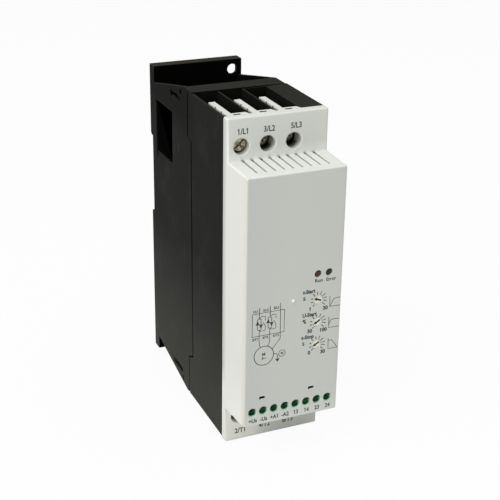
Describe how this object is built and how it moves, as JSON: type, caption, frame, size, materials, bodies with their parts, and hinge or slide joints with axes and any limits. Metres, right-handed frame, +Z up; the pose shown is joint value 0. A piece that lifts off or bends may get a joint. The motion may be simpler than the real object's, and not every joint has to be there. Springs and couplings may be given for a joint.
{
  "type": "soft starter",
  "caption": "Slim soft starter for a small three-phase motor: grey stepped front with screw wells, dials and lamps, green control terminals, black vented housing for a 35 mm rail",
  "frame": {"origin": "middle of the underside of the outer box", "axes": "+Z up, -Y out of the control panel, +X to the right seen from the front"},
  "size_m": [0.044, 0.116, 0.15],
  "materials": {
    "cover_plastic": "light grey moulded, fine grain",
    "housing_plastic": "black glass-filled, fine grain",
    "latch_plastic": "black moulded",
    "spring_steel": "drawn wire",
    "heat_sink_aluminium": "extruded, dark",
    "board_laminate": "green solder mask",
    "supply_resin": "cast resin",
    "link_plastic": "black moulded",
    "terminal_green": "green moulded",
    "lamp_plastic": "smoked clear plastic",
    "tinned_copper": "tinned copper strip",
    "module_resin": "black moulded resin",
    "relay_plastic": "blue moulded case",
    "plated_steel": "zinc plated",
    "dial_plastic": "cream moulded"
  },
  "bodies": {
    "unit": {"board_link": "link_plastic", "bypass_relay_1": "relay_plastic", "bypass_relay_3": "relay_plastic", "clamp_frame_l1": "plated_steel", "clamp_frame_l2": "plated_steel", "clamp_frame_l3": "plated_steel", "clamp_frame_t1": "plated_steel", "clamp_frame_t2": "plated_steel", "clamp_frame_t3": "plated_steel", "control_board": "board_laminate", "control_supply": "supply_resin", "control_terminal_block": "terminal_green", "current_bar_l1": "tinned_copper", "current_bar_l3": "tinned_copper", "current_bar_middle": "tinned_copper", "current_bar_t1": "tinned_copper", "current_bar_t3": "tinned_copper", "error_lamp": "lamp_plastic", "front_cover": "cover_plastic", "front_housing": "housing_plastic", "heat_sink": "heat_sink_aluminium", "latch_spring": "spring_steel", "power_board": "board_laminate", "rear_housing": "housing_plastic", "run_lamp": "lamp_plastic", "thyristor_module_1": "module_resin", "thyristor_module_3": "module_resin"},
    "saddle_l1_body": {"saddle_l1": "plated_steel"},
    "screw_l1_body": {"terminal_screw_l1": "plated_steel"},
    "saddle_l2_body": {"saddle_l2": "plated_steel"},
    "screw_l2_body": {"terminal_screw_l2": "plated_steel"},
    "saddle_l3_body": {"saddle_l3": "plated_steel"},
    "screw_l3_body": {"terminal_screw_l3": "plated_steel"},
    "saddle_t1_body": {"saddle_t1": "plated_steel"},
    "screw_t1_body": {"terminal_screw_t1": "plated_steel"},
    "saddle_t2_body": {"saddle_t2": "plated_steel"},
    "screw_t2_body": {"terminal_screw_t2": "plated_steel"},
    "saddle_t3_body": {"saddle_t3": "plated_steel"},
    "screw_t3_body": {"terminal_screw_t3": "plated_steel"},
    "clamp_1_body": {"control_clamp_1": "plated_steel"},
    "control_screw_1_body": {"control_screw_1": "plated_steel"},
    "clamp_2_body": {"control_clamp_2": "plated_steel"},
    "control_screw_2_body": {"control_screw_2": "plated_steel"},
    "clamp_3_body": {"control_clamp_3": "plated_steel"},
    "control_screw_3_body": {"control_screw_3": "plated_steel"},
    "clamp_4_body": {"control_clamp_4": "plated_steel"},
    "control_screw_4_body": {"control_screw_4": "plated_steel"},
    "clamp_5_body": {"control_clamp_5": "plated_steel"},
    "control_screw_5_body": {"control_screw_5": "plated_steel"},
    "clamp_6_body": {"control_clamp_6": "plated_steel"},
    "control_screw_6_body": {"control_screw_6": "plated_steel"},
    "clamp_7_body": {"control_clamp_7": "plated_steel"},
    "control_screw_7_body": {"control_screw_7": "plated_steel"},
    "clamp_8_body": {"control_clamp_8": "plated_steel"},
    "control_screw_8_body": {"control_screw_8": "plated_steel"},
    "dial_1_body": {"dial_1": "dial_plastic"},
    "dial_2_body": {"dial_2": "dial_plastic"},
    "dial_3_body": {"dial_3": "dial_plastic"},
    "latch_body": {"rail_latch": "latch_plastic"}
  },
  "joints": [
    {"name": "saddle_l1_slide", "type": "slide", "parent": "unit", "child": "saddle_l1_body", "axis": [0, 1, 0], "range_m": [-0.0004, 0.0046]},
    {"name": "screw_l1_turn", "type": "hinge", "parent": "saddle_l1_body", "child": "screw_l1_body", "pos_m": [-0.01603, -0.03575, 0.1379], "axis": [0, 1, 0], "range_deg": [-206, 2366]},
    {"name": "saddle_l2_slide", "type": "slide", "parent": "unit", "child": "saddle_l2_body", "axis": [0, 1, 0], "range_m": [-0.0042, 0.0008]},
    {"name": "screw_l2_turn", "type": "hinge", "parent": "saddle_l2_body", "child": "screw_l2_body", "pos_m": [-0.00438, -0.03195, 0.1379], "axis": [0, 1, 0], "range_deg": [-2160, 412]},
    {"name": "saddle_l3_slide", "type": "slide", "parent": "unit", "child": "saddle_l3_body", "axis": [0, 1, 0], "range_m": [-0.0047, 0.0003]},
    {"name": "screw_l3_turn", "type": "hinge", "parent": "saddle_l3_body", "child": "screw_l3_body", "pos_m": [0.00728, -0.03145, 0.1379], "axis": [0, 1, 0], "range_deg": [-2418, 155]},
    {"name": "saddle_t1_slide", "type": "slide", "parent": "unit", "child": "saddle_t1_body", "axis": [0, 1, 0], "range_m": [-0.0042, 0.0008]},
    {"name": "screw_t1_turn", "type": "hinge", "parent": "saddle_t1_body", "child": "screw_t1_body", "pos_m": [-0.01603, -0.03195, 0.0121], "axis": [0, 1, 0], "range_deg": [-2160, 412]},
    {"name": "saddle_t2_slide", "type": "slide", "parent": "unit", "child": "saddle_t2_body", "axis": [0, 1, 0], "range_m": [-0.0046, 0.0004]},
    {"name": "screw_t2_turn", "type": "hinge", "parent": "saddle_t2_body", "child": "screw_t2_body", "pos_m": [-0.00438, -0.03155, 0.0121], "axis": [0, 1, 0], "range_deg": [-2366, 206]},
    {"name": "saddle_t3_slide", "type": "slide", "parent": "unit", "child": "saddle_t3_body", "axis": [0, 1, 0], "range_m": [-0.0042, 0.0008]},
    {"name": "screw_t3_turn", "type": "hinge", "parent": "saddle_t3_body", "child": "screw_t3_body", "pos_m": [0.00728, -0.03195, 0.0121], "axis": [0, 1, 0], "range_deg": [-2160, 412]},
    {"name": "clamp_1_slide", "type": "slide", "parent": "unit", "child": "clamp_1_body", "axis": [0, 1, 0], "range_m": [0, 0.0012]},
    {"name": "control_screw_1_turn", "type": "hinge", "parent": "unit", "child": "control_screw_1_body", "pos_m": [-0.0182, -0.05475, 0.0254], "axis": [0, 1, 0], "range_deg": [-961, 0]},
    {"name": "clamp_2_slide", "type": "slide", "parent": "unit", "child": "clamp_2_body", "axis": [0, 1, 0], "range_m": [0, 0.0012]},
    {"name": "control_screw_2_turn", "type": "hinge", "parent": "unit", "child": "control_screw_2_body", "pos_m": [-0.01312, -0.05475, 0.0254], "axis": [0, 1, 0], "range_deg": [-961, 0]},
    {"name": "clamp_3_slide", "type": "slide", "parent": "unit", "child": "clamp_3_body", "axis": [0, 1, 0], "range_m": [0, 0.0012]},
    {"name": "control_screw_3_turn", "type": "hinge", "parent": "unit", "child": "control_screw_3_body", "pos_m": [-0.00804, -0.05475, 0.0254], "axis": [0, 1, 0], "range_deg": [-961, 0]},
    {"name": "clamp_4_slide", "type": "slide", "parent": "unit", "child": "clamp_4_body", "axis": [0, 1, 0], "range_m": [0, 0.0012]},
    {"name": "control_screw_4_turn", "type": "hinge", "parent": "unit", "child": "control_screw_4_body", "pos_m": [-0.00296, -0.05475, 0.0254], "axis": [0, 1, 0], "range_deg": [-961, 0]},
    {"name": "clamp_5_slide", "type": "slide", "parent": "unit", "child": "clamp_5_body", "axis": [0, 1, 0], "range_m": [0, 0.0012]},
    {"name": "control_screw_5_turn", "type": "hinge", "parent": "unit", "child": "control_screw_5_body", "pos_m": [0.00212, -0.05475, 0.0254], "axis": [0, 1, 0], "range_deg": [-961, 0]},
    {"name": "clamp_6_slide", "type": "slide", "parent": "unit", "child": "clamp_6_body", "axis": [0, 1, 0], "range_m": [0, 0.0012]},
    {"name": "control_screw_6_turn", "type": "hinge", "parent": "unit", "child": "control_screw_6_body", "pos_m": [0.0072, -0.05475, 0.0254], "axis": [0, 1, 0], "range_deg": [-961, 0]},
    {"name": "clamp_7_slide", "type": "slide", "parent": "unit", "child": "clamp_7_body", "axis": [0, 1, 0], "range_m": [0, 0.0012]},
    {"name": "control_screw_7_turn", "type": "hinge", "parent": "unit", "child": "control_screw_7_body", "pos_m": [0.01228, -0.05475, 0.0254], "axis": [0, 1, 0], "range_deg": [-961, 0]},
    {"name": "clamp_8_slide", "type": "slide", "parent": "unit", "child": "clamp_8_body", "axis": [0, 1, 0], "range_m": [0, 0.0012]},
    {"name": "control_screw_8_turn", "type": "hinge", "parent": "unit", "child": "control_screw_8_body", "pos_m": [0.01736, -0.05475, 0.0254], "axis": [0, 1, 0], "range_deg": [-961, 0]},
    {"name": "dial_1_turn", "type": "hinge", "parent": "unit", "child": "dial_1_body", "pos_m": [0.0113, -0.05765, 0.0733], "axis": [0, 1, 0], "range_deg": [-64, 206]},
    {"name": "dial_2_turn", "type": "hinge", "parent": "unit", "child": "dial_2_body", "pos_m": [0.0113, -0.05765, 0.0628], "axis": [0, 1, 0], "range_deg": [-15, 255]},
    {"name": "dial_3_turn", "type": "hinge", "parent": "unit", "child": "dial_3_body", "pos_m": [0.0113, -0.05765, 0.0523], "axis": [0, 1, 0], "range_deg": [-15, 255]},
    {"name": "latch_slide", "type": "slide", "parent": "unit", "child": "latch_body", "axis": [0, 0, -1], "range_m": [0, 0.004], "stiffness_N_per_m": 800, "springref_m": -0.003, "deforming": ["latch_spring"]}
  ],
  "couplings": [
    {"joint": "screw_l1_turn", "follows": "saddle_l1_slide", "rad_per_m": 8976},
    {"joint": "screw_l2_turn", "follows": "saddle_l2_slide", "rad_per_m": 8976},
    {"joint": "screw_l3_turn", "follows": "saddle_l3_slide", "rad_per_m": 8976},
    {"joint": "screw_t1_turn", "follows": "saddle_t1_slide", "rad_per_m": 8976},
    {"joint": "screw_t2_turn", "follows": "saddle_t2_slide", "rad_per_m": 8976},
    {"joint": "screw_t3_turn", "follows": "saddle_t3_slide", "rad_per_m": 8976},
    {"joint": "control_screw_1_turn", "follows": "clamp_1_slide", "rad_per_m": -13963},
    {"joint": "control_screw_2_turn", "follows": "clamp_2_slide", "rad_per_m": -13963},
    {"joint": "control_screw_3_turn", "follows": "clamp_3_slide", "rad_per_m": -13963},
    {"joint": "control_screw_4_turn", "follows": "clamp_4_slide", "rad_per_m": -13963},
    {"joint": "control_screw_5_turn", "follows": "clamp_5_slide", "rad_per_m": -13963},
    {"joint": "control_screw_6_turn", "follows": "clamp_6_slide", "rad_per_m": -13963},
    {"joint": "control_screw_7_turn", "follows": "clamp_7_slide", "rad_per_m": -13963},
    {"joint": "control_screw_8_turn", "follows": "clamp_8_slide", "rad_per_m": -13963}
  ]
}
